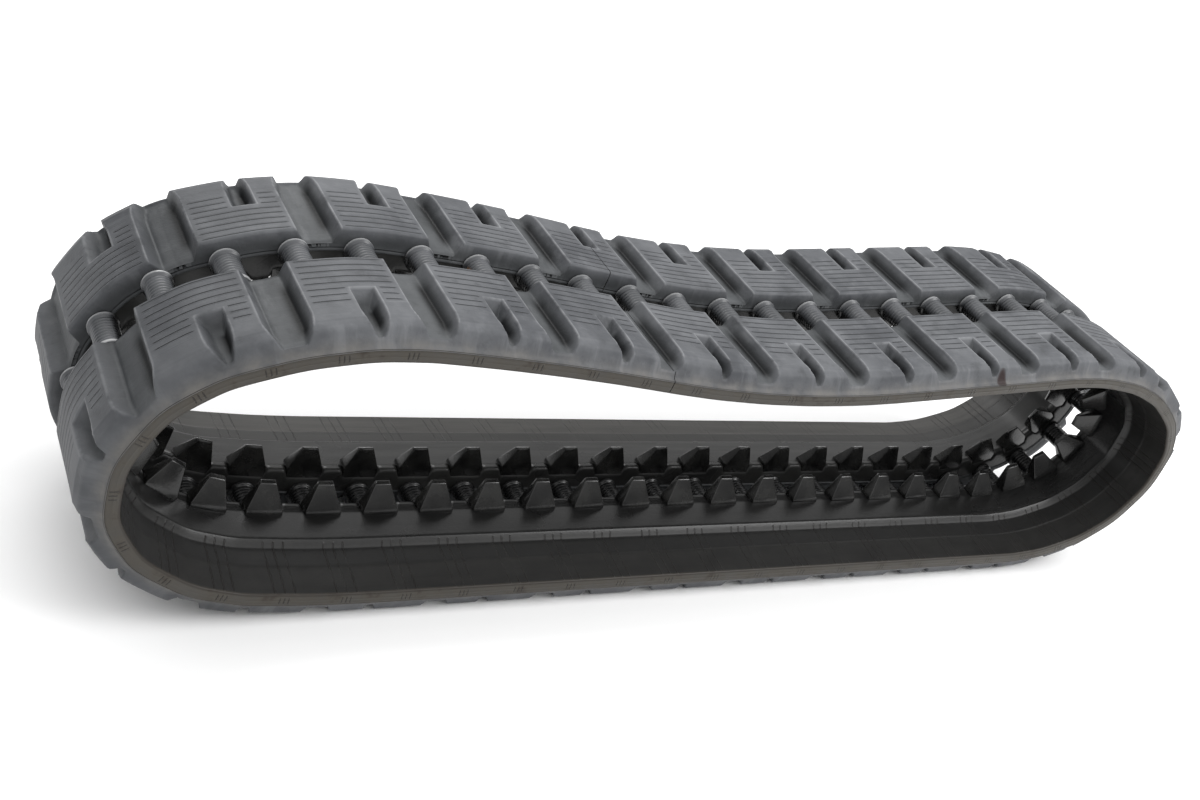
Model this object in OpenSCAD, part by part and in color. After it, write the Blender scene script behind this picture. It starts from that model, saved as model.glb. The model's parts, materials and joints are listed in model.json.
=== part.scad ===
// Rubber track of a compact track loader, standing free on the floor as a closed loop.
// X runs along the track, Y across it, Z up. The loop stands on the lugs of its ground run.
// Distances called depth are measured from the cord line: plus is toward the wheels.

/* [Loop] */
// distance from one steel core to the next, along the cord line
pitch = 86; // [72:1:102]
// overall width of the belt, rim to rim
belt_width = 400; // [300:10:500]
// steel cores in the flat run that lies on the floor
ground_cores = 14; // [10:2:20]
// angle each flex joint can open or close, also sets the wedge gaps
flex_angle = 4; // [2:0.5:6]

/* [Carcass] */
// thickness of the thin rim of the belt
rim_thickness = 18; // [12:1:26]
// depth of the flange where it meets the roller path
flange_depth = 27; // [20:1:32]
// depth of the roller path, the raised band the bottom rollers run on
path_depth = 37; // [28:1:44]
// half the distance between the outer edges of the two roller paths
path_edge = 111; // [90:1:130]
// half the width of the sprocket windows
window_half = 34; // [28:1:40]
// depth of the bare carcass in the grooves, on the floor side
floor_depth = 9; // [6:1:12]

/* [Tread lugs] */
// depth of the lug tops, on the floor side
lug_depth = 30; // [24:1:38]
// half width at which the lug top ends and the flank starts
lug_edge = 172; // [150:1:180]
// length of the groove between two lugs, at the lug tops
groove_top = 54; // [40:1:64]
// length of the groove between two lugs, at its floor
groove_floor = 28; // [16:1:36]
// distance the grooves sit behind the window centres
groove_shift = 13; // [0:1:14]
// length of the notch in the middle of each C-shaped lug, at the lug top
notch_top = 26; // [16:1:36]
// length of the notch at its floor
notch_floor = 13; // [8:1:20]
// distance from the centre plane to the inner end of a notch
notch_start = 104; // [80:1:130]

/* [Steel cores] */
// diameter of the round steel bridge across the sprocket window
bridge_diameter = 24; // [16:1:30]
// length of a core wing along the track
wing_length = 34; // [24:1:44]
// distance from the centre plane to the tip of a core wing
wing_reach = 104; // [80:1:130]
// thickness of a core wing
wing_thickness = 9; // [6:1:14]
// depth of the top of the guide teeth
tooth_depth = 80; // [60:1:84]
// length of a guide tooth at its foot
tooth_foot = 52; // [40:1:62]
// length of a guide tooth at its top
tooth_top = 21; // [12:1:30]
// distance from the centre plane to the inner face of a guide tooth
tooth_inner = 36; // [35:1:44]
// width across the track of a guide tooth at its foot
tooth_width = 22; // [14:1:30]

/* [Sleeves and cords] */
// diameter of the ribbed rubber sleeve round each bridge
sleeve_diameter = 38; // [32:1:44]
// depth of the rib troughs on a sleeve
rib_depth = 1.2; // [0.5:0.1:2]
// thickness of the steel cord bands
cord_thickness = 4; // [2:0.5:6]
// distance from the centre plane to the inner edge of a cord band
cord_inner = 42; // [38:1:60]
// distance from the centre plane to the outer edge of a cord band
cord_outer = 150; // [120:1:170]

/* [Hidden] */
STRETCHES = ["ground_run", "front_lower", "front_nose", "front_upper", "upper_front",
    "upper_middle", "upper_rear", "rear_upper", "rear_nose", "rear_lower"];
half = belt_width / 2;
seam_gap = 0.4;
open_gap = 1.0;
arc_trim = 0.02;
// the arcs each stretch is bent to: whole pitches and degrees of turn, in order round the loop;
// the two trim angles and the last arc are solved so that the loop closes on itself
trim_start = [18, 3];
function arcs(t) = let(
    rest = [[ground_cores, 0], [2, 24], [2, 51], [2, 65], [2, 29], [2, t[0]], [4, 0], [5, -14],
        [4, t[1]], [3, 27], [2, 51], [2, 62], [2, 38]],
    turned = total([for (r = rest) r[1]]))
    concat(rest, [[2, 360 - turned]]);
function total(v, i = 0) = i < len(v) ? v[i] + total(v, i + 1) : 0;
function radius(run) = run[0] * pitch * 180 / (PI * run[1]);
// pose [x, z, heading] after going the given number of pitches along an arc
function go(p, run, n) = run[1] == 0
    ? [p[0] + n * pitch * cos(p[2]), p[1] + n * pitch * sin(p[2]), p[2]]
    : let(a = run[1] * n / run[0], r = radius(run))
        [p[0] + r * (sin(p[2] + a) - sin(p[2])), p[1] - r * (cos(p[2] + a) - cos(p[2])), p[2] + a];
function walk(list, i) = i == 0 ? [0, 0, 0]
    : let(p = walk(list, i - 1)) go(p, list[i - 1], list[i - 1][0]);
function miss(t) = let(list = arcs(t), p = walk(list, len(list))) [p[0], p[1]];
function newton(t, n) = n == 0 ? t : let(
    e = miss(t), ea = (miss(t + [0.01, 0]) - e) / 0.01, eb = (miss(t + [0, 0.01]) - e) / 0.01,
    d = ea[0] * eb[1] - ea[1] * eb[0])
    newton(t - [e[0] * eb[1] - e[1] * eb[0], ea[0] * e[1] - ea[1] * e[0]] / d, n - 1);
ARCS = arcs(newton(trim_start, 6));
// arcs that belong to each stretch: first arc and number of arcs
SPANS = [[0, 1], [1, 2], [3, 1], [4, 2], [6, 1], [7, 1], [8, 1], [9, 1], [10, 2], [12, 2]];
// pitches before an arc, the start pose of an arc, and the loop moved to stand on the floor
function before(i) = total([for (j = [0:1:i - 1]) ARCS[j][0]]);
STARTS = [for (i = [0:len(ARCS)]) walk(ARCS, i)];
function pose_at(k, i = 0) = k <= before(i + 1) || i == len(ARCS) - 1
    ? go(STARTS[i], ARCS[i], k - before(i)) : pose_at(k, i + 1);
xs = [for (k = [0:0.25:before(len(ARCS))]) pose_at(k)[0]];
x_shift = -(max(xs) + min(xs)) / 2;

// puts a child given in local X along the track, local Z toward the wheels, at a pose
module placed(p) {
    translate([p[0] + x_shift, 0, p[1] + lug_depth]) rotate([0, -p[2], 0]) children();
}

// sweeps one side profile, points [across, depth], along one arc, a hair short of both its ends
module swept(i, points) {
    run = ARCS[i];
    r = run[1] == 0 ? 0 : radius(run);
    e = run[1] == 0 ? 0 : arc_trim * 180 / (PI * abs(r));
    placed(STARTS[i]) {
        if (run[1] == 0)
            translate([arc_trim, 0, 0])
                rotate([90, 0, 90])
                    linear_extrude(run[0] * pitch - 2 * arc_trim)
                        polygon(points);
        if (run[1] > 0)
            translate([0, 0, r])
                rotate([0, 90, -90])
                    rotate([0, 0, e])
                        rotate_extrude(angle = run[1] - 2 * e, $fn = 180)
                            polygon([for (q = points) [r - q[1], -q[0]]]);
        if (run[1] < 0)
            translate([0, 0, r])
                rotate([0, -90, -90])
                    rotate([0, 0, e])
                        rotate_extrude(angle = -run[1] - 2 * e, $fn = 180)
                            polygon([for (q = points) [q[1] - r, q[0]]]);
    }
}

// both sides of a stretch, swept along all its arcs
module stretch_sweep(b, points) {
    for (i = [SPANS[b][0]:SPANS[b][0] + SPANS[b][1] - 1])
        for (side = [-1, 1])
            swept(i, [for (q = points) [side * q[0], q[1]]]);
}

function first_pitch(b) = before(SPANS[b][0]);
function last_pitch(b) = before(SPANS[b][0] + SPANS[b][1]);

// wedge taken off both ends of a stretch, so that neighbours can hinge on the cord line
module end_wedges(b, cut) {
    lean = tan(flex_angle / 2);
    for (e = [0, 1]) {
        k = e == 0 ? first_pitch(b) : last_pitch(b);
        open_end = (b == 5 && e == 1) || (b == 6 && e == 0);
        g = (open_end ? open_gap : seam_gap) / 2;
        dir = e == 0 ? 1 : -1;
        placed(pose_at(k))
            translate([0, cut / 2, 0])
                rotate([90, 0, 0])
                    linear_extrude(cut)
                        polygon([[-9 * dir, 50], [(g + 50 * lean) * dir, 50], [g * dir, 0],
                            [(g + 50 * lean) * dir, -50], [-9 * dir, -50]]);
    }
}

// depth outline of the wheel-side rubber on one side of the windows
wheel_profile = [[window_half, 0], [cord_inner, 0], [cord_inner, cord_thickness / 2],
    [cord_outer, cord_thickness / 2], [cord_outer, 0], [half, 0], [half, rim_thickness],
    [path_edge + 3, flange_depth], [path_edge, path_depth - 1.5], [path_edge - 2, path_depth],
    [window_half + 4, path_depth], [window_half, path_depth - 6]];

// outline of the tread rubber at full lug height on one side
tread_profile = [[window_half, 0], [cord_inner, 0], [cord_inner, -cord_thickness / 2],
    [cord_outer, -cord_thickness / 2], [cord_outer, 0], [half - 3, 0], [half - 3, -2],
    [half - 15, -lug_depth + 6], [lug_edge, -lug_depth], [window_half + 2, -lug_depth],
    [window_half, -lug_depth + 3]];

// outline of one cord band
cord_profile = [[cord_inner, -cord_thickness / 2], [cord_outer, -cord_thickness / 2],
    [cord_outer, cord_thickness / 2], [cord_inner, cord_thickness / 2]];

// prism across the belt: outline given as [along, depth], from one width to another
module across(y1, y2, outline) {
    translate([0, max(y1, y2), 0])
        rotate([90, 0, 0])
            linear_extrude(abs(y2 - y1))
                polygon(outline);
}

// channel between two lugs of one row, open over the whole width of the row
module groove(side) {
    c = groove_shift;
    intersection() {
        across(side * (window_half - 1), side * (half + 5),
            [[c - groove_top / 2 - 4, -lug_depth - 8], [c - groove_top / 2, -lug_depth],
                [c - groove_floor / 2, -floor_depth], [c + groove_floor / 2, -floor_depth],
                [c + groove_top / 2, -lug_depth], [c + groove_top / 2 + 4, -lug_depth - 8]]);
        rotate([90, 0, 90])
            linear_extrude(200, center = true)
                polygon([[side * 20, -floor_depth], [side * (half - 28), -floor_depth],
                    [side * (half - 6), -floor_depth - 5], [side * (half + 20), -floor_depth - 16],
                    [side * (half + 20), -60], [side * 20, -60]]);
    }
}

// pocket in the middle of a C-shaped lug, open toward the rim
module notch(side) {
    intersection() {
        across(side * notch_start, side * (half + 5),
            [[-notch_top / 2 - 3, -lug_depth - 8], [-notch_top / 2, -lug_depth],
                [-notch_floor / 2, -floor_depth], [notch_floor / 2, -floor_depth],
                [notch_top / 2, -lug_depth], [notch_top / 2 + 3, -lug_depth - 8]]);
        rotate([90, 0, 90])
            linear_extrude(200, center = true)
                polygon([[side * notch_start, -lug_depth], [side * (notch_start + 26), -floor_depth],
                    [side * (half - 28), -floor_depth], [side * (half - 6), -floor_depth - 5],
                    [side * (half + 20), -floor_depth - 16], [side * (half + 20), -60],
                    [side * notch_start, -60]]);
    }
}

// tread rubber of one stretch: the two rows of C-shaped lugs, staggered by one pitch
module tread(b) {
    color([0.2, 0.21, 0.22])
        difference() {
            stretch_sweep(b, tread_profile);
            for (k = [first_pitch(b):last_pitch(b)])
                placed(pose_at(k)) {
                    side = k % 2 == 0 ? -1 : 1;
                    groove(-side);
                    notch(side);
                }
            end_wedges(b, belt_width + 20);
        }
}

// wheel-side rubber of one stretch: roller paths, flanges and rims, moulded round the cores
module wheel_rubber(b) {
    color([0.12, 0.12, 0.12])
        difference() {
            stretch_sweep(b, wheel_profile);
            for (k = [first_pitch(b):last_pitch(b) - 1])
                placed(pose_at(k + 0.5)) {
                    core_wings();
                    core_teeth();
                }
            end_wedges(b, belt_width + 20);
        }
}

// steel cord bands of one stretch, one each side of the windows
module cord_bands(b) {
    color([0.55, 0.52, 0.45])
        difference() {
            stretch_sweep(b, cord_profile);
            end_wedges(b, belt_width + 20);
        }
}

// the two flat wings of a core, buried in the wheel-side rubber
module core_wings() {
    for (side = [-1, 1])
        across(side * (window_half - 4), side * wing_reach,
            [[-wing_length / 2, 4.5], [wing_length / 2, 4.5],
                [wing_length / 2, 4.5 + wing_thickness], [-wing_length / 2, 4.5 + wing_thickness]]);
}

// the two guide teeth of a core
module core_teeth() {
    shoulder = path_depth - 1;
    for (side = [-1, 1])
        intersection() {
            across(side * tooth_inner, side * (tooth_inner + tooth_width),
                [[-tooth_foot / 2 + 6, 4.5 + wing_thickness - 1], [tooth_foot / 2 - 6, 4.5 + wing_thickness - 1],
                    [tooth_foot / 2, shoulder], [tooth_top / 2, tooth_depth],
                    [-tooth_top / 2, tooth_depth], [-tooth_foot / 2, shoulder]]);
            rotate([90, 0, 90])
                linear_extrude(tooth_foot + 4, center = true)
                    polygon([[side * tooth_inner, 8], [side * (tooth_inner + tooth_width), 8],
                        [side * (tooth_inner + tooth_width), shoulder],
                        [side * (tooth_inner + 9), tooth_depth - 2], [side * (tooth_inner + 7), tooth_depth],
                        [side * (tooth_inner + 3), tooth_depth], [side * tooth_inner, shoulder + 6]]);
        }
}

// steel cores of one stretch: round bridge, two wings and two guide teeth each
module cores(b) {
    color([0.1, 0.1, 0.1])
        for (k = [first_pitch(b):last_pitch(b) - 1])
            placed(pose_at(k + 0.5))
                union() {
                    core_wings();
                    core_teeth();
                    translate([0, 0, 4])
                        rotate([90, 0, 0])
                            cylinder(h = 2 * window_half - 2, d = bridge_diameter, center = true, $fn = 64);
                }
}

// ribbed rubber sleeves round the bridges of one stretch
module sleeves(b) {
    r = sleeve_diameter / 2;
    step = 6;
    n = floor((2 * window_half - 4) / step);
    len0 = n * step / 2;
    color([0.16, 0.17, 0.18])
        for (k = [first_pitch(b):last_pitch(b) - 1])
            placed(pose_at(k + 0.5))
                difference() {
                    translate([0, 0, 1])
                        rotate([90, 0, 0])
                            rotate_extrude($fn = 64)
                                polygon(concat([[0, -len0], [r, -len0]],
                                    [for (j = [0:n - 1]) each [[r, -len0 + j * step + 2],
                                        [r - rib_depth, -len0 + j * step + 3],
                                        [r - rib_depth, -len0 + j * step + 5],
                                        [r, -len0 + (j + 1) * step]]], [[0, len0]]));
                    core_wings();
                    translate([0, 0, 4])
                        rotate([90, 0, 0])
                            cylinder(h = 2 * window_half - 2, d = bridge_diameter, center = true, $fn = 64);
                }
}

module ground_run_tread() {
    tread(0);
}
module ground_run_wheel_rubber() {
    wheel_rubber(0);
}
module ground_run_cord_bands() {
    cord_bands(0);
}
module ground_run_cores() {
    cores(0);
}
module ground_run_sleeves() {
    sleeves(0);
}
module front_lower_tread() {
    tread(1);
}
module front_lower_wheel_rubber() {
    wheel_rubber(1);
}
module front_lower_cord_bands() {
    cord_bands(1);
}
module front_lower_cores() {
    cores(1);
}
module front_lower_sleeves() {
    sleeves(1);
}
module front_nose_tread() {
    tread(2);
}
module front_nose_wheel_rubber() {
    wheel_rubber(2);
}
module front_nose_cord_bands() {
    cord_bands(2);
}
module front_nose_cores() {
    cores(2);
}
module front_nose_sleeves() {
    sleeves(2);
}
module front_upper_tread() {
    tread(3);
}
module front_upper_wheel_rubber() {
    wheel_rubber(3);
}
module front_upper_cord_bands() {
    cord_bands(3);
}
module front_upper_cores() {
    cores(3);
}
module front_upper_sleeves() {
    sleeves(3);
}
module upper_front_tread() {
    tread(4);
}
module upper_front_wheel_rubber() {
    wheel_rubber(4);
}
module upper_front_cord_bands() {
    cord_bands(4);
}
module upper_front_cores() {
    cores(4);
}
module upper_front_sleeves() {
    sleeves(4);
}
module upper_middle_tread() {
    tread(5);
}
module upper_middle_wheel_rubber() {
    wheel_rubber(5);
}
module upper_middle_cord_bands() {
    cord_bands(5);
}
module upper_middle_cores() {
    cores(5);
}
module upper_middle_sleeves() {
    sleeves(5);
}
module upper_rear_tread() {
    tread(6);
}
module upper_rear_wheel_rubber() {
    wheel_rubber(6);
}
module upper_rear_cord_bands() {
    cord_bands(6);
}
module upper_rear_cores() {
    cores(6);
}
module upper_rear_sleeves() {
    sleeves(6);
}
module rear_upper_tread() {
    tread(7);
}
module rear_upper_wheel_rubber() {
    wheel_rubber(7);
}
module rear_upper_cord_bands() {
    cord_bands(7);
}
module rear_upper_cores() {
    cores(7);
}
module rear_upper_sleeves() {
    sleeves(7);
}
module rear_nose_tread() {
    tread(8);
}
module rear_nose_wheel_rubber() {
    wheel_rubber(8);
}
module rear_nose_cord_bands() {
    cord_bands(8);
}
module rear_nose_cores() {
    cores(8);
}
module rear_nose_sleeves() {
    sleeves(8);
}
module rear_lower_tread() {
    tread(9);
}
module rear_lower_wheel_rubber() {
    wheel_rubber(9);
}
module rear_lower_cord_bands() {
    cord_bands(9);
}
module rear_lower_cores() {
    cores(9);
}
module rear_lower_sleeves() {
    sleeves(9);
}

ground_run_tread();
ground_run_wheel_rubber();
ground_run_cord_bands();
ground_run_cores();
ground_run_sleeves();
front_lower_tread();
front_lower_wheel_rubber();
front_lower_cord_bands();
front_lower_cores();
front_lower_sleeves();
front_nose_tread();
front_nose_wheel_rubber();
front_nose_cord_bands();
front_nose_cores();
front_nose_sleeves();
front_upper_tread();
front_upper_wheel_rubber();
front_upper_cord_bands();
front_upper_cores();
front_upper_sleeves();
upper_front_tread();
upper_front_wheel_rubber();
upper_front_cord_bands();
upper_front_cores();
upper_front_sleeves();
upper_middle_tread();
upper_middle_wheel_rubber();
upper_middle_cord_bands();
upper_middle_cores();
upper_middle_sleeves();
upper_rear_tread();
upper_rear_wheel_rubber();
upper_rear_cord_bands();
upper_rear_cores();
upper_rear_sleeves();
rear_upper_tread();
rear_upper_wheel_rubber();
rear_upper_cord_bands();
rear_upper_cores();
rear_upper_sleeves();
rear_nose_tread();
rear_nose_wheel_rubber();
rear_nose_cord_bands();
rear_nose_cores();
rear_nose_sleeves();
rear_lower_tread();
rear_lower_wheel_rubber();
rear_lower_cord_bands();
rear_lower_cores();
rear_lower_sleeves();
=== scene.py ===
import bmesh
import bpy
import json
import math
import numpy as np
from mathutils import Matrix, Vector


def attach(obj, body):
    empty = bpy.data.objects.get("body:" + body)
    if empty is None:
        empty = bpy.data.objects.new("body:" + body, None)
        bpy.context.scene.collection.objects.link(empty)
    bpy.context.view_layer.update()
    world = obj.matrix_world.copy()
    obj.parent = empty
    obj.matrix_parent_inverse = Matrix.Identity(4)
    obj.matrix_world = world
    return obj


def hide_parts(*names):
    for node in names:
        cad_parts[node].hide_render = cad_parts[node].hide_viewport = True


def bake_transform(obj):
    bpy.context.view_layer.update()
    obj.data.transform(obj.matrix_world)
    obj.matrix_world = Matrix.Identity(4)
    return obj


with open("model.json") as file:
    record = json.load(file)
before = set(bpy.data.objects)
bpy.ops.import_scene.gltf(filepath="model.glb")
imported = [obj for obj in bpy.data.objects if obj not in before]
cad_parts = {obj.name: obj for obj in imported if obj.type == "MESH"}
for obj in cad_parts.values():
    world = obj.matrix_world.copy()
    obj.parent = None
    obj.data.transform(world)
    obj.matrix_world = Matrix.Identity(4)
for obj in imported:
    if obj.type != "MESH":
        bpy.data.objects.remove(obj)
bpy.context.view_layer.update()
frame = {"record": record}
record = frame["record"]
MM = 0.001

# ---- sizes of the belt, in millimetres; depth is measured from the cord line,
# plus toward the wheels
PITCH = 86.0      # from one core to the next
FLOOR = 9.0       # height of the groove and notch beds over the cord line
WINDOW = 34.0     # half the width of a sprocket window
GROUND = 14       # pitches lying on the ground
CORE = 0.5        # where in its pitch a core sits
BRIDGE = 12.0     # radius of a core's steel bridge
SLIT = 0.6        # half the slit between the two free ends


# ---- the loop: the same arcs as the solid model, in pitches and degrees
def arc_list(trim):
    rest = [(GROUND, 0), (2, 24), (2, 51), (2, 65), (2, 29), (2, trim[0]), (4, 0), (5, -14),
            (4, trim[1]), (3, 27), (2, 51), (2, 62), (2, 38)]
    return rest + [(2, 360 - sum(a for _, a in rest))]


def advance(pose, run):
    x, z, h = pose
    n, a = run[0] * PITCH, math.radians(run[1])
    if abs(a) < 1e-9:
        return x + n * math.cos(h), z + n * math.sin(h), h
    r = n / a
    return x + r * (math.sin(h + a) - math.sin(h)), z - r * (math.cos(h + a) - math.cos(h)), h + a


def corners(arcs):
    out = [(0.0, 0.0, 0.0)]
    for run in arcs:
        out.append(advance(out[-1], run))
    return out


TRIM_STEP = 0.01


def close_loop():
    """Trim two of the arcs until the loop's end meets its start."""
    t = np.array([17.0, 4.0])
    for _ in range(8):
        e = np.array(corners(arc_list(t))[-1][:2])
        cols = [(np.array(corners(arc_list(t + d))[-1][:2]) - e) / TRIM_STEP
                for d in np.eye(2) * TRIM_STEP]
        t = t - np.linalg.solve(np.array(cols).T, e)
    return arc_list(t)


ARCS = close_loop()
ENDS = corners(ARCS)
TURNS = sum(n for n, _ in ARCS)
pivot = {j["name"]: j["pos_m"] for j in record["behaviour"]["joints"]}
X0 = pivot["rear_lower_flex"][0] / MM
Z0 = pivot["rear_lower_flex"][2] / MM

# The belt is stiff over each core and bends mostly at the windows, so the turning is
# gathered there.
PER = 64          # steps of the path table in one pitch
BOW = 0.75        # how strongly the turning is gathered


def path_table():
    heads = np.radians(np.concatenate([[0.0], np.cumsum([a for _, a in ARCS])]))
    marks = np.concatenate([[0.0], np.cumsum([n for n, _ in ARCS])])
    u = np.linspace(0, TURNS, TURNS * PER + 1)
    warped = u + BOW / (2 * math.pi) * np.sin(2 * math.pi * u)
    h = np.interp(warped, marks, heads)
    mid = (h[1:] + h[:-1]) / 2
    x = np.concatenate([[0], np.cumsum(np.cos(mid))]) * PITCH / PER
    z = np.concatenate([[0], np.cumsum(np.sin(mid))]) * PITCH / PER
    want = np.array(ENDS)
    at = (marks * PER).astype(int)
    x += np.interp(u, marks, want[:, 0] - x[at])
    z += np.interp(u, marks, want[:, 1] - z[at])
    return u, x + X0, z + Z0, h


PATH = path_table()


def place(u, y, n):
    """Belt coordinates (pitches along, mm across, mm deep) to metres in the row frame."""
    u = np.asarray(u, float)
    lap = np.floor(u / TURNS)
    v = u - lap * TURNS
    x = np.interp(v, PATH[0], PATH[1])
    z = np.interp(v, PATH[0], PATH[2])
    h = np.interp(v, PATH[0], PATH[3])
    return np.stack([x - n * np.sin(h), y + 0 * x, z + n * np.cos(h)], -1) * MM


def core_place(k, ds, y, n):
    """A rigid insert's own coordinates at core k: mm along, across, deep."""
    x, z, h = (np.interp((k + CORE) % TURNS, PATH[0], PATH[i]) for i in (1, 2, 3))
    along = x + ds * np.cos(h) - n * np.sin(h)
    up = z + ds * np.sin(h) + n * np.cos(h)
    return np.stack([along, y + 0 * ds, up], -1) * MM


def belt_values(u, y, n):
    """The point values that the finishes read: along, across and depth, in metres."""
    return {"along": u * PITCH * MM, "across": y * MM, "depth": n * MM}


# ---- meshes: a grid made by bmesh, then laid over a shape given by a function
def laid_grid(us, vs, fn):
    """Grid over us x vs. fn(U, V) gives positions (metres) and a dict of point values."""
    nu, nv = len(us) - 1, len(vs) - 1
    bm = bmesh.new()
    bmesh.ops.create_grid(bm, x_segments=nu, y_segments=nv, size=0.5)
    co = np.array([v.co[:2] for v in bm.verts])
    i = np.rint((co[:, 0] + 0.5) * nu).astype(int)
    j = np.rint((co[:, 1] + 0.5) * nv).astype(int)
    pos, values = fn(np.asarray(us)[i], np.asarray(vs)[j])
    for v, p in zip(bm.verts, pos):
        v.co = p
    return bm, values


def add_values(bm, values):
    for name, data in values.items():
        layer = bm.verts.layers.float.get(name) or bm.verts.layers.float.new(name)
        for v, d in zip(bm.verts, data):
            v[layer] = float(d)


def joined(name, parts, material):
    """One object out of several bmeshes with the same point values."""
    mesh = bpy.data.meshes.new(name)
    out = bmesh.new()
    for bm, values in parts:
        add_values(bm, values)
        tmp = bpy.data.meshes.new("tmp")
        bm.to_mesh(tmp)
        bm.free()
        out.from_mesh(tmp)
        bpy.data.meshes.remove(tmp)
    out.to_mesh(mesh)
    out.free()
    for p in mesh.polygons:
        p.use_smooth = True
    mesh.materials.append(material)
    obj = bpy.data.objects.new(name, mesh)
    bpy.context.scene.collection.objects.link(obj)
    return obj


def ramp(x, a, b):
    t = np.clip((x - a) / (b - a), 0, 1)
    return t * t * (3 - 2 * t)


def soft_min(a, b, r):
    h = np.clip(0.5 + 0.5 * (b - a) / r, 0, 1)
    return b + (a - b) * h - r * h * (1 - h)


# ---- tread: outline across one side, then grooves and notches cut into it
TREAD_LINE = [
    (34.0, -3.0), (32.8, -2.0), (32.5, -0.6), (33.2, 0.8), (34.0, 2.0), (34.0, 8.0),
    (34.0, 15.0), (34.4, 21.0), (35.0, 26.0), (36.2, 28.6), (38.0, 29.7), (40.0, 30.0)]
TREAD_LINE += [(y, 30.0) for y in np.linspace(43, 168, 46)]
TREAD_LINE += [
    (170.5, 30.0), (172.3, 29.6), (174.5, 28.7), (178.0, 27.6), (181.5, 26.6), (184.3, 25.6),
    (186.2, 24.0), (187.6, 20.8), (189.0, 16.6), (190.5, 12.2), (192.0, 8.2), (193.6, 5.2),
    (195.2, 3.2), (197.0, 2.1), (198.8, 1.6), (199.7, 0.8), (200.0, -0.2)]

# stations along one pitch, closer where the lug edges are
MARKS = [
    -43, -39, -35, -31, -27.5, -24.5, -22, -20, -18.6, -17.4, -16.3, -15.3, -14.3, -13.2,
    -12.1, -11, -10, -9, -8, -6.5, -4, -1, 2, 5, 7, 8.4, 9.5, 10.6, 11.7, 12.8, 14, 15.5,
    18, 21, 24, 26, 28, 30, 32, 33.6, 35, 36.3, 37.5, 38.7, 40, 41.5]


def stations(u0, u1):
    out = [k + m / PITCH for k in range(int(u0), int(u1) + 2) for m in MARKS]
    return np.array([u0] + [u for u in out if u0 + 0.004 < u < u1 - 0.004] + [u1])


def run_out(y):
    """The bed rises again where a cut leaves the side of the belt."""
    return np.where(y > 150, FLOOR - 0.5 + (y - 186.5), -50)


def groove_cut(ds, y, more):
    """Open groove between two lugs, from the window to the rim; more widens the cut."""
    low, high = ds + 15.5 + more, 38.5 + more - ds
    narrow = ramp(y, 150, 192) * 5.0
    low_wall = FLOOR + (8.0 + narrow - low) * 2.4
    high_wall = FLOOR + (10.0 + narrow - high) * 2.1
    bed = FLOOR - ramp(y, 42, 33) * 2.0 + np.abs(ds - 12.0) * 0.06
    crease = np.exp(-((high - 11.0) / 2.0) ** 2) * 1.6 * ramp(y, 40, 60)
    return np.maximum(np.maximum(low_wall, high_wall), np.maximum(bed - crease, run_out(y)))


def notch_cut(ds, y, more):
    """Notch in the middle of a lug, from its outer side inward."""
    low, high = ds + 13.0 + more, 13.0 + more - ds
    narrow = ramp(y, 150, 190) * 3.0
    low_wall = FLOOR + (4.5 + narrow - low) * 3.4
    high_wall = FLOOR + (8.5 + narrow - high) * 2.3
    bed = np.maximum(FLOOR + (124.0 - more - y) * 1.25, FLOOR)
    return np.maximum(np.maximum(low_wall, high_wall), np.maximum(bed, run_out(y)))


def low_wall_shade(u, y, h, side):
    """How much painted shade a point gets in the crease at the foot of a cut's low wall."""
    out = np.zeros_like(y)
    for dk in (-1, 0, 1):
        k = np.rint(u) + dk
        ds = (u - k) * PITCH
        grooved = (k % 2 == 1) == (side < 0)
        groove = np.exp(-((ds + 6.0) / 6.5) ** 2) * ramp(y, 48, 80) * ramp(y, 184, 158)
        notch = np.exp(-((ds + 8.0) / 5.5) ** 2) * ramp(y, 128, 136) * ramp(y, 184, 160)
        out = np.maximum(out, np.where(grooved, groove, notch))
    return out * ramp(h, 27.0, 18.0)


def lug_height(u, y, full, side, more=0.0, soft=0.9):
    """Height of the tread, with every groove and notch near u cut into the full outline."""
    h = full.copy()
    k = np.rint(u)
    for dk in (-1, 0, 1):
        kk = k + dk
        ds = (u - kk) * PITCH
        grooved = (kk % 2 == 1) == (side < 0)
        cut = np.where(grooved, groove_cut(ds, y, more), notch_cut(ds, y, more))
        h = soft_min(h, cut, soft)
    return np.where(full < 8.3, np.minimum(full, h + 1.0), h)


def tread_side(u0, u1, side):
    line = np.array(TREAD_LINE)

    def fn(u, j):
        y, full = line[j, 0].copy(), line[j, 1].copy()
        h = lug_height(u, y, full, side)
        well_in = ramp(lug_height(u, y, full, side, 7.0), 26.0, 29.5)
        near_in = ramp(lug_height(u, y, full, side, 2.5), 27.0, 29.5)
        values = belt_values(u, side * y, -h)
        values["ribbed"] = well_in * ramp(y, 39.0, 41.0) * ramp(y, 146, 143)
        values["wear_and_highlight"] = ramp(h, 27.5, 29.4) * (1 - near_in)
        values["shade"] = low_wall_shade(u, y, h, side)
        return place(u, side * y, -h), values

    return laid_grid(stations(u0, u1), np.arange(len(line)), fn)


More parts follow.
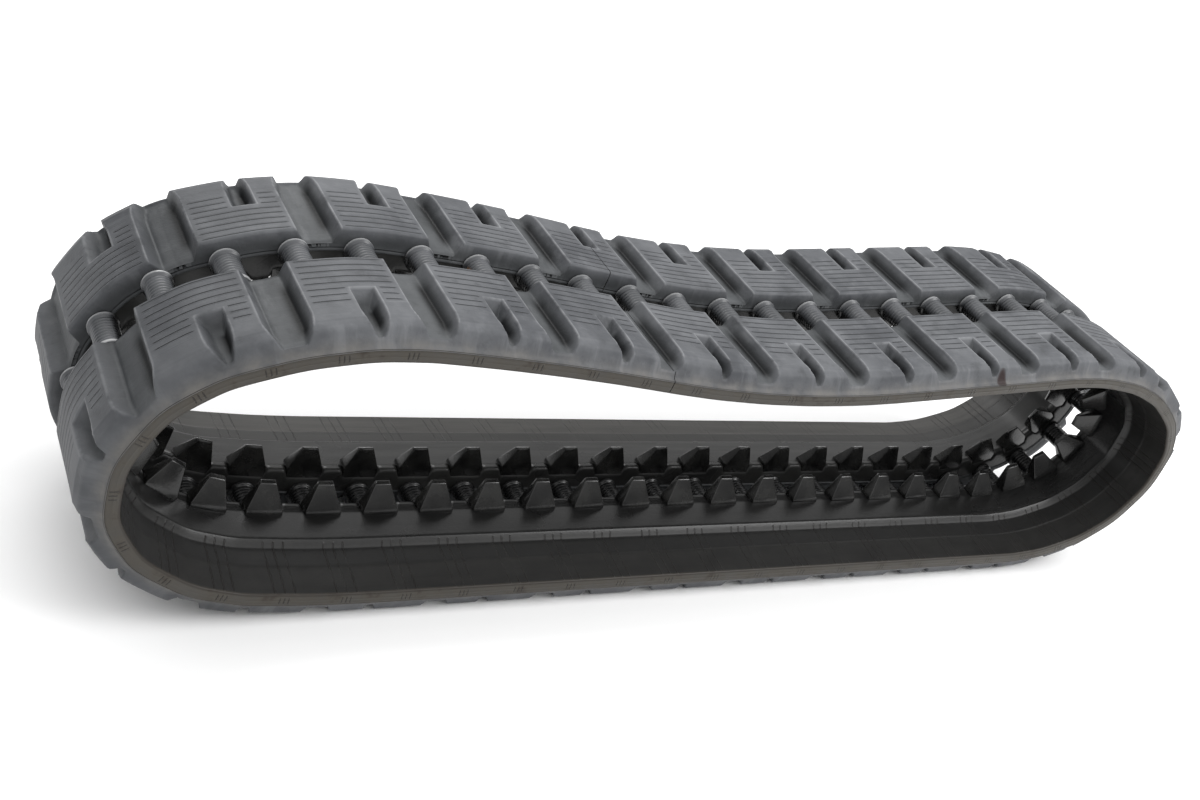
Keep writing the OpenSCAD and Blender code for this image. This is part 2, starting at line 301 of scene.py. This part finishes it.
# ---- wheel-side rubber: outline across one side
WHEEL_LINE = [
    (34.0, -3.0), (34.0, 8.0), (34.0, 18.0), (34.2, 28.0), (34.8, 34.5), (36.5, 38.8),
    (39.0, 40.6), (42.5, 41.0), (46.0, 40.6), (49.0, 39.4), (51.5, 37.8), (54.0, 37.1)]
WHEEL_LINE += [(y, 37.0) for y in np.linspace(57, 106, 18)]
WHEEL_LINE += [
    (108.8, 36.9), (110.2, 36.4), (111.4, 35.3), (113.5, 33.0), (115.6, 30.7), (117.4, 28.6),
    (118.8, 27.4), (120.5, 26.8)]
WHEEL_LINE += [(y, 26.6 - (y - 122) * 0.085) for y in np.linspace(123, 149, 8)]
WHEEL_LINE += [(150.2, 24.0), (151.4, 23.4)]
WHEEL_LINE += [(y, 23.2 - (y - 152) * 0.105) for y in np.linspace(153, 194, 12)]
WHEEL_LINE += [
    (196.5, 18.6), (198.2, 18.5), (199.4, 17.6), (200.0, 15.8), (200.0, 13.0), (200.0, 10.0),
    (200.3, 9.4), (200.3, 8.8), (200.0, 8.2), (200.0, 5.0), (200.0, 2.2), (199.4, 1.2),
    (199.9, 0.2), (199.7, -0.9), (199.0, -1.4)]

# the lip beside each guide tooth is lower, which shows the tooth's foot
LIP_DROP = 11.0


def even_stations(u0, u1, per_pitch):
    return np.linspace(u0, u1, int(round((u1 - u0) * per_pitch)) + 1)


def wheel_side(u0, u1, side):
    line = np.array(WHEEL_LINE)

    def fn(u, j):
        y, n = line[j, 0], line[j, 1]
        ds = np.abs((u - np.floor(u) - CORE) * PITCH)
        n = n - LIP_DROP * ramp(ds, 30.0, 25.5) * ramp(y, 52.0, 45.0) * ramp(n, 20.0, 36.0)
        return place(u, side * y, n), belt_values(u, side * y, n)

    return laid_grid(even_stations(u0, u1, 24), np.arange(len(line)), fn)


# ---- cord bands, hidden between the two rubber layers
CORD_LINE = [
    (42.0, -2.0), (96.0, -2.0), (150.0, -2.0), (150.0, 2.0), (96.0, 2.0), (42.0, 2.0),
    (42.0, -2.0)]


def cord_side(u0, u1, side):
    line = np.array(CORD_LINE)

    def fn(u, j):
        y, n = line[j, 0], line[j, 1]
        return place(u, side * y, n), belt_values(u, side * y, n)

    return laid_grid(even_stations(u0, u1, 8), np.arange(len(line)), fn)


# ---- inserts: guide teeth, bridges and ribbed sleeves
# guide tooth, level by level: depth, inner face, outer face, half length
TOOTH = [
    (14.0, 36.0, 61.0, 25.0), (37.0, 36.0, 61.0, 26.0), (42.0, 36.0, 59.8, 26.0),
    (46.5, 36.1, 58.0, 24.2), (77.0, 36.8, 43.6, 11.8), (80.0, 37.8, 42.0, 10.4)]
TOOTH_MIDDLE = 48.0   # corners beyond it go to the outer face; the tip closes to a ridge
SHARP = 0.16      # radians between two faces, over which an edge is rounded


def tooth(k, side):
    bm = bmesh.new()
    bmesh.ops.create_grid(bm, x_segments=1, y_segments=1, size=1.0)
    top = list(bm.faces)
    for i, (n, inner, outer, half) in enumerate(TOOTH):
        if i:
            grown = bmesh.ops.extrude_face_region(bm, geom=top)
            if i > 1:
                bmesh.ops.delete(bm, geom=top, context="FACES_ONLY")
            top = [g for g in grown["geom"] if isinstance(g, bmesh.types.BMFace)]
        for v in {v for f in top for v in f.verts}:
            sx = 1 if v.co.x > 0 else -1
            is_outer = v.co.y > 0 if i == 0 else abs(v.co.y) > TOOTH_MIDDLE
            v.co = (sx * half, side * (outer if is_outer else inner), n)
    bmesh.ops.recalc_face_normals(bm, faces=bm.faces)
    sharp = [e for e in bm.edges if len(e.link_faces) == 2 and e.calc_face_angle(0) > SHARP]
    bmesh.ops.bevel(bm, geom=sharp, offset=1.5, segments=2, profile=0.6, affect="EDGES")
    bmesh.ops.recalc_face_normals(bm, faces=bm.faces)
    co = np.array([v.co[:] for v in bm.verts])
    for v, p in zip(bm.verts, core_place(k, co[:, 0], co[:, 1], co[:, 2])):
        v.co = p
    return bm, belt_values(co[:, 0] / PITCH, co[:, 1], co[:, 2])


SLEEVE = 16.6     # radius of a ribbed sleeve between its ribs
RIB = 1.3
RIB_PITCH = 6.0
COLLAR = 3.6      # how far the collars at both ends stand out


def sleeve(k):
    """Ribbed sleeve; its depth value is the radius, and inner marks the wheel side."""
    def fn(y, a):
        off = np.abs(y)
        rib = 0.5 - 0.5 * np.cos(y / RIB_PITCH * 2 * math.pi)
        r = SLEEVE + RIB * rib * ramp(off, 30.0, 26.0)
        r = r + COLLAR * ramp(off, 25.5, 28.6) * ramp(off, 33.4, 31.4)
        values = {"along": a, "across": y * MM, "depth": r * MM,
                  "wear_and_highlight": ramp(off, 27.5, 29.5), "inner": ramp(np.sin(a), -0.45, 0.1)}
        return core_place(k, r * np.cos(a), y, 1.0 + r * np.sin(a)), values

    ys = np.concatenate([np.linspace(-WINDOW, -24, 13), np.linspace(-23, 23, 58),
                         np.linspace(24, WINDOW, 13)])
    return laid_grid(ys, np.linspace(0, 2 * math.pi, 41), fn)


def bridge_bar(k):
    def fn(y, a):
        values = {"along": a, "across": y * MM, "depth": 0 * y}
        return core_place(k, BRIDGE * np.cos(a), y, 4.0 + BRIDGE * np.sin(a)), values

    return laid_grid(np.linspace(-WINDOW, WINDOW, 3), np.linspace(0, 2 * math.pi, 33), fn)


# ---- materials
class Val:
    """A shader socket that Python arithmetic builds nodes from."""

    def __init__(self, tree, out):
        self.tree, self.out = tree, out

    def _math(self, op, *others):
        n = self.tree.nodes.new("ShaderNodeMath")
        n.operation = op
        self.tree.links.new(self.out, n.inputs[0])
        for i, o in enumerate(others, 1):
            if isinstance(o, Val):
                self.tree.links.new(o.out, n.inputs[i])
            else:
                n.inputs[i].default_value = o
        return Val(self.tree, n.outputs[0])

    def __add__(self, o): return self._math("ADD", o)
    def __sub__(self, o): return self._math("SUBTRACT", o)
    def __rsub__(self, o): return (self * -1.0) + o
    def __mul__(self, o): return self._math("MULTIPLY", o)
    def power(self, o): return self._math("POWER", o)
    def most(self, o): return self._math("MAXIMUM", o)
    def size(self): return self._math("ABSOLUTE")
    def part(self, o): return self._math("FLOORED_MODULO", o)

    def step(self, a, b):
        n = self.tree.nodes.new("ShaderNodeMapRange")
        n.interpolation_type = "SMOOTHSTEP"
        self.tree.links.new(self.out, n.inputs["Value"])
        n.inputs["From Min"].default_value = a
        n.inputs["From Max"].default_value = b
        return Val(self.tree, n.outputs["Result"])


def new_material(name):
    mat = bpy.data.materials.new(name)
    mat.use_nodes = True
    return mat, mat.node_tree, mat.node_tree.nodes["Principled BSDF"]


def attribute(tree, name):
    n = tree.nodes.new("ShaderNodeAttribute")
    n.attribute_name = name
    return Val(tree, n.outputs["Fac"])


def object_space(tree):
    return tree.nodes.new("ShaderNodeTexCoord").outputs["Object"]


def belt_space(tree, sx, sy):
    n = tree.nodes.new("ShaderNodeCombineXYZ")
    tree.links.new((attribute(tree, "along") * sx).out, n.inputs[0])
    tree.links.new((attribute(tree, "across") * sy).out, n.inputs[1])
    return n.outputs[0]


def noise(tree, vector, scale, detail=4.0, rough=0.55):
    n = tree.nodes.new("ShaderNodeTexNoise")
    tree.links.new(vector, n.inputs["Vector"])
    n.inputs["Scale"].default_value = scale
    n.inputs["Detail"].default_value = detail
    n.inputs["Roughness"].default_value = rough
    return Val(tree, n.outputs["Fac"])


def blend_colour(tree, fac, a, b):
    n = tree.nodes.new("ShaderNodeMix")
    n.data_type = "RGBA"
    tree.links.new(fac.out, n.inputs["Factor"])
    for sock, c in ((n.inputs[6], a), (n.inputs[7], b)):
        if isinstance(c, tuple):
            sock.default_value = (*c, 1)
        else:
            tree.links.new(c, sock)
    return n.outputs[2]


def bump(tree, height, distance, strength=1.0, under=None):
    n = tree.nodes.new("ShaderNodeBump")
    n.inputs["Distance"].default_value = distance
    n.inputs["Strength"].default_value = strength
    tree.links.new(height.out, n.inputs["Height"])
    if under is not None:
        tree.links.new(under, n.inputs["Normal"])
    return n.outputs["Normal"]


def spot(along, across, at, y, r):
    """A soft round mark on the belt: pitches along, metres across, radius in metres."""
    d = (along - at * PITCH * MM).power(2.0) + (across - y).power(2.0)
    return 1.0 - d.step(r * r * 0.35, r * r)


def mark_at(tree, x, y, r):
    """A soft round mark seen from above, at x and y of the row frame, radius in metres."""
    split = tree.nodes.new("ShaderNodeSeparateXYZ")
    tree.links.new(object_space(tree), split.inputs[0])
    d = (Val(tree, split.outputs[0]) - x).power(2.0) + (Val(tree, split.outputs[1]) - y).power(2.0)
    return 1.0 - d.step(r * r * 0.3, r * r)


def rubber_light(bsdf, specular):
    bsdf.inputs["Specular IOR Level"].default_value = specular


def tread_finish():
    mat, tree, bsdf = new_material("tread_rubber_finish")
    obj = object_space(tree)
    along, side_y, depth, ribbed, wear_and_highlight, crease = [
        attribute(tree, name) for name in ("along", "across", "depth", "ribbed", "wear_and_highlight", "shade")]
    across = side_y.size()
    top = 1.0 - depth.step(-0.030, -0.024)
    cloud = noise(tree, obj, 8.0)
    patch = noise(tree, obj, 30.0, 5.0, 0.6)
    fine = noise(tree, obj, 240.0, 3.0)
    scuff = noise(tree, belt_space(tree, 7.0, 120.0), 1.0, 5.0, 0.7)
    waver = noise(tree, belt_space(tree, 26.0, 5.0), 1.0, 3.0)
    base = blend_colour(tree, cloud.step(0.33, 0.67), (0.066, 0.069, 0.076),
                        (0.118, 0.122, 0.13))
    base = blend_colour(tree, patch.step(0.48, 0.72) * 0.45, base, (0.16, 0.165, 0.175))
    base = blend_colour(tree, (1.0 - patch.step(0.28, 0.46)) * 0.5, base, (0.045, 0.047, 0.05))
    smear = noise(tree, belt_space(tree, 30.0, 9.0), 1.0, 5.0, 0.65)
    base = blend_colour(tree, smear.step(0.52, 0.7) * (1.0 - top) * 0.5, base,
                        (0.2, 0.205, 0.215))
    base = blend_colour(tree, scuff.step(0.57, 0.78) * top * 0.5, base, (0.22, 0.225, 0.235))
    # lug top edges painted lighter: partly rubbed wear, partly painted highlight
    base = blend_colour(tree, wear_and_highlight * patch.step(0.3, 0.6) * 0.7, base, (0.24, 0.245, 0.255))
    # painted shade: grooves and notches darkened
    cut_shade = depth.step(-0.027, -0.010) * (1.0 - across.step(0.184, 0.19))
    base = blend_colour(tree, cut_shade * 0.35, base, (0.045, 0.05, 0.047))
    # painted shade: the rubber beside the windows darkened
    window_shade = (1.0 - across.step(0.036, 0.043)) * depth.step(-0.026, -0.012)
    base = blend_colour(tree, window_shade * 0.3, base, (0.02, 0.021, 0.022))
    rear = along.step(3.2, 3.5) * (1.0 - along.step(3.9, 4.1))
    base = blend_colour(tree, rear * 0.4, base, (0.035, 0.037, 0.04))
    # painted shade in the crease at the foot of each cut's low wall
    base = blend_colour(tree, crease * (patch * 0.2 + 0.88), base, (0.003, 0.0035, 0.0038))
    low_edge = across.step(0.188, 0.196) * (patch.step(0.3, 0.7) * 0.6 + 0.1)
    base = blend_colour(tree, low_edge, base, (0.15, 0.142, 0.13))
    stain = spot(along, side_y, 25.8, -0.1955, 0.011)
    base = blend_colour(tree, stain * 0.85, base, (0.02, 0.008, 0.007))
    ridge = ((across - 0.0357 + (waver - 0.5) * 0.002).part(0.0131) - 0.00655).size()
    sipe = (1.0 - ridge.step(0.0003, 0.0011)) * ribbed
    base = blend_colour(tree, sipe * (patch.step(0.25, 0.5) * 0.4 + 0.5), base,
                        (0.014, 0.0145, 0.016))
    tree.links.new(base, bsdf.inputs["Base Color"])
    tree.links.new((cloud * 0.2 + scuff * 0.12 + 0.36).out, bsdf.inputs["Roughness"])
    rubber_light(bsdf, 0.16)
    lip = (1.0 - (ridge - 0.0017).size().step(0.0002, 0.0012)) * ribbed
    n1 = bump(tree, lip * 0.35 + 1.0 - sipe, 0.0012)
    n2 = bump(tree, fine * 0.5 + scuff * 0.7 + patch * 0.8, 0.0007, 0.6, n1)
    tree.links.new(n2, bsdf.inputs["Normal"])
    return mat


def wheel_finish():
    mat, tree, bsdf = new_material("wheel_side_rubber_finish")
    obj = object_space(tree)
    along, side_y, depth = [attribute(tree, name) for name in ("along", "across", "depth")]
    across = side_y.size()
    cloud = noise(tree, obj, 6.0)
    patch = noise(tree, obj, 34.0, 5.0, 0.6)
    streak = noise(tree, belt_space(tree, 5.0, 70.0), 1.0, 5.0, 0.65)
    fine = noise(tree, obj, 260.0, 3.0)
    flange = across.step(0.112, 0.118)
    rim = across.step(0.1955, 0.1985)
    base = blend_colour(tree, cloud.step(0.3, 0.7), (0.012, 0.012, 0.012), (0.026, 0.026, 0.025))
    path = across.step(0.06, 0.075) * streak.step(0.35, 0.7)
    base = blend_colour(tree, path * 0.5, base, (0.06, 0.06, 0.058))
    base = blend_colour(tree, flange * (streak.step(0.3, 0.75) * 0.5 + 0.3), base,
                        (0.028, 0.027, 0.025))
    outer = across.step(0.147, 0.153) * (streak.step(0.25, 0.7) * 0.5 + 0.3)
    base = blend_colour(tree, outer, base, (0.064, 0.061, 0.056))
    # painted shade: the near side and the front bend darkened to near-black
    front_bend = along.step(1.36, 1.6) * (1.0 - along.step(2.0, 2.2))
    near_and_bend_shade = (1.0 - side_y.step(-0.02, 0.02)).most(front_bend)
    base = blend_colour(tree, near_and_bend_shade * (1.0 - rim) * (patch * 0.3 + 0.68), base,
                        (0.006, 0.006, 0.006))
    # painted highlight: a light line along the shoulder at the flange, kept off the painted shade
    edge = 1.0 - (across - 0.1145).size().step(0.002, 0.005)
    edge = edge * (patch.step(0.35, 0.6) * 0.5 + 0.35)
    base = blend_colour(tree, edge * (1.0 - near_and_bend_shade * 0.93), base, (0.15, 0.147, 0.14))
    base = blend_colour(tree, rim * (patch.step(0.3, 0.65) * 0.6 + 0.4), base, (0.05, 0.044, 0.035))
    base = blend_colour(tree, rim * patch.step(0.56, 0.68) * 0.75, base, (0.022, 0.016, 0.012))
    base = blend_colour(tree, rim * depth.step(0.0145, 0.0165) * 0.6, base, (0.018, 0.014, 0.011))
    cell = (along.part(0.086) - 0.043).size()
    far_tick = 1.0 - (cell - 0.014).size().step(0.0004, 0.0015)
    mid_tick = 1.0 - cell.step(0.0004, 0.0015)
    waver = patch.step(0.25, 0.6)
    lines = far_tick.most(mid_tick) * across.step(0.112, 0.114) * (1.0 - rim) * waver
    rim_tick = (1.0 - (cell - 0.006).size().step(0.0003, 0.0011)).most(
        1.0 - cell.step(0.0003, 0.0011))
    rim_lines = rim_tick * rim * depth.step(0.002, 0.004) * (1.0 - depth.step(0.012, 0.014))
    seam = (1.0 - (depth + 0.0004).size().step(0.0004, 0.0015)) * rim
    marks = lines.most(rim_lines).most(seam)
    base = blend_colour(tree, marks * 0.8, base, (0.014, 0.012, 0.011))
    tree.links.new(base, bsdf.inputs["Base Color"])
    tree.links.new((cloud * 0.16 + flange * 0.16 + 0.2).out, bsdf.inputs["Roughness"])
    rubber_light(bsdf, 0.3)
    n1 = bump(tree, 1.0 - marks, 0.0009)
    n2 = bump(tree, fine * 0.5 + streak * 0.6 + patch * 0.6, 0.0006, 0.5, n1)
    tree.links.new(n2, bsdf.inputs["Normal"])
    return mat


def sleeve_finish():
    mat, tree, bsdf = new_material("sleeve_rubber_finish")
    obj = object_space(tree)
    cloud = noise(tree, obj, 24.0)
    fine = noise(tree, obj, 240.0, 3.0)
    depth, wear_and_highlight = attribute(tree, "depth"), attribute(tree, "wear_and_highlight")
    base = blend_colour(tree, cloud.step(0.35, 0.7), (0.035, 0.038, 0.042), (0.07, 0.073, 0.08))
    base = blend_colour(tree, depth.step(0.0172, 0.0179) * 0.5, base, (0.1, 0.103, 0.11))
    # painted highlight on the collar rims, partly rubbed wear
    collar = wear_and_highlight * depth.step(0.0187, 0.0199)
    base = blend_colour(tree, collar * (cloud.step(0.3, 0.6) * 0.4 + 0.5), base,
                        (0.38, 0.385, 0.39))
    # painted shade: the wheel side of each sleeve darkened to near-black
    inner = attribute(tree, "inner")
    base = blend_colour(tree, inner * 0.93, base, (0.007, 0.007, 0.007))
    dirt = mark_at(tree, -0.462, 0.012, 0.016) * cloud.step(0.42, 0.55) * inner
    base = blend_colour(tree, dirt, base, (0.42, 0.17, 0.03))
    pale = mark_at(tree, -0.45, -0.012, 0.008) * inner
    base = blend_colour(tree, pale * 0.9, base, (0.6, 0.62, 0.62))
    tree.links.new(base, bsdf.inputs["Base Color"])
    tree.links.new((cloud * 0.2 + 0.26 - inner * 0.12).out, bsdf.inputs["Roughness"])
    tree.links.new(bump(tree, fine, 0.0003, 0.5), bsdf.inputs["Normal"])
    return mat


def plain_finish(name, dark, light, rough, metallic=0.0, specular=0.5):
    mat, tree, bsdf = new_material(name)
    obj = object_space(tree)
    cloud = noise(tree, obj, 24.0)
    fine = noise(tree, obj, 220.0, 3.0)
    base = blend_colour(tree, cloud.step(0.35, 0.7), dark, light)
    tree.links.new(base, bsdf.inputs["Base Color"])
    tree.links.new((cloud * 0.15 + rough).out, bsdf.inputs["Roughness"])
    bsdf.inputs["Metallic"].default_value = metallic
    rubber_light(bsdf, specular)
    tree.links.new(bump(tree, fine, 0.0003, 0.5), bsdf.inputs["Normal"])
    return mat


TREAD_MAT = tread_finish()
WHEEL_MAT = wheel_finish()
CORE_MAT = plain_finish("coated_core_steel", (0.006, 0.006, 0.006), (0.02, 0.02, 0.019), 0.14)
SLEEVE_MAT = sleeve_finish()
CORD_MAT = plain_finish("cord_ply_finish", (0.3, 0.26, 0.18), (0.42, 0.37, 0.26), 0.35, 0.9)

# ---- stretches, in order round the loop, and the pieces that reach across each hinge
STRETCH = ["ground_run", "front_lower", "front_nose", "front_upper", "upper_front",
           "upper_middle", "upper_rear", "rear_upper", "rear_nose", "rear_lower"]
BOUNDS = [0, 14, 18, 20, 24, 28, 33, 37, 40, 44, 48]
OPEN_PIVOT = 33
LAYERS = {
    "tread": ("tread_rubber", TREAD_MAT),
    "wheel_rubber": ("wheel_side_rubber", WHEEL_MAT),
    "cord_bands": ("steel_cord_ply", CORD_MAT),
    "cores": ("core_steel", CORE_MAT),
    "sleeves": ("sleeve_rubber", SLEEVE_MAT)}


def layer_parts(layer, u0, u1, k0, k1):
    sides = {"tread": tread_side, "wheel_rubber": wheel_side, "cord_bands": cord_side}
    if layer in sides:
        return [sides[layer](u0, u1, s) for s in (-1, 1)]
    if layer == "cores":
        teeth = [tooth(k, s) for k in range(k0, k1) for s in (-1, 1)]
        return teeth + [bridge_bar(k) for k in range(k0, k1)]
    return [sleeve(k) for k in range(k0, k1)]


def build_layers():
    """Pieces reach from mid stretch to mid stretch, over the hinge between."""
    n = len(STRETCH)
    for i in range(n):
        a, b = STRETCH[i], STRETCH[(i + 1) % n]
        ka, kh = BOUNDS[i], BOUNDS[i + 1]
        kb = kh + BOUNDS[(i + 1) % n + 1] - BOUNDS[(i + 1) % n]
        ma, mb = (ka + kh) // 2, (kh + kb) // 2
        spans = [(a, ma, kh), (b, kh, mb)] if kh == OPEN_PIVOT else [(None, ma, mb)]
        for body, k0, k1 in spans:
            for layer, (slot_name, mat) in LAYERS.items():
                name = "%s_%s" % (layer, a if body is None else body + "_end")
                gap = 0.0 if body is None else SLIT / PITCH
                u0, u1 = k0 + (gap if k0 == kh else 0.0), k1 - (gap if k1 == kh else 0.0)
                obj = joined(name, layer_parts(layer, u0, u1, k0, k1), mat)
                if body is None:
                    near = place(np.array([kh - (kh - ma) * 0.8]), 0, 0)[0]
                    far = place(np.array([kh + (mb - kh) * 0.8]), 0, 0)[0]
                    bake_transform(obj)
                    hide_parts(a + "_" + layer, b + "_" + layer)
                else:
                    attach(obj, body)
                    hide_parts(body + "_" + layer)


build_layers()


# ---- camera: above the near left end, looking along the track and down, slightly rolled
def add_camera():
    data = bpy.data.cameras.new("camera")
    data.sensor_width = 36.0
    data.lens = 41.16
    data.clip_end = 50.0
    cam = bpy.data.objects.new("camera", data)
    bpy.context.scene.collection.objects.link(cam)
    right = Vector((0.854074, -0.413773, 0.31519))
    up = Vector((-0.016451, 0.584171, 0.811459))
    back = Vector((-0.519893, -0.69823, 0.492128))
    m = Matrix((right, up, back)).transposed().to_4x4()
    m.translation = Vector((-1.2597, -1.453, 1.2535))
    cam.matrix_world = m
    bpy.context.scene.camera = cam


add_camera()


def add_lamp(name, place_at, size, energy, aim=(0, 0, 0.2)):
    light = bpy.data.lights.new(name, "AREA")
    light.size = size
    light.energy = energy
    lamp = bpy.data.objects.new(name, light)
    lamp.location = place_at
    lamp.rotation_euler = (Vector(aim) - lamp.location).to_track_quat("-Z", "Y").to_euler()
    bpy.context.scene.collection.objects.link(lamp)


def add_stage():
    bpy.ops.mesh.primitive_plane_add(size=30, location=(0, 0, 0))
    floor = bpy.context.object
    floor.name = "floor"
    mat, tree, bsdf = new_material("pale_floor")
    bsdf.inputs["Base Color"].default_value = (0.93, 0.93, 0.93, 1)
    bsdf.inputs["Roughness"].default_value = 0.8
    floor.data.materials.append(mat)
    world = bpy.data.worlds.new("studio")
    world.use_nodes = True
    tree = world.node_tree
    coord = tree.nodes.new("ShaderNodeTexCoord")
    split = tree.nodes.new("ShaderNodeSeparateXYZ")
    tree.links.new(coord.outputs["Generated"], split.inputs[0])
    glow = Val(tree, split.outputs[2]).step(0.0, 0.95) * 1.5 + 0.2
    tree.links.new(glow.out, tree.nodes["Background"].inputs["Strength"])
    tree.nodes["Background"].inputs["Color"].default_value = (1, 1, 1, 1)
    bpy.context.scene.world = world
    add_lamp("key_light", (2.2, -1.6, 2.6), 1.6, 60)
    add_lamp("back_light", (-0.6, 2.6, 2.2), 1.6, 30)
    bpy.context.scene.view_settings.view_transform = "Standard"


add_stage()
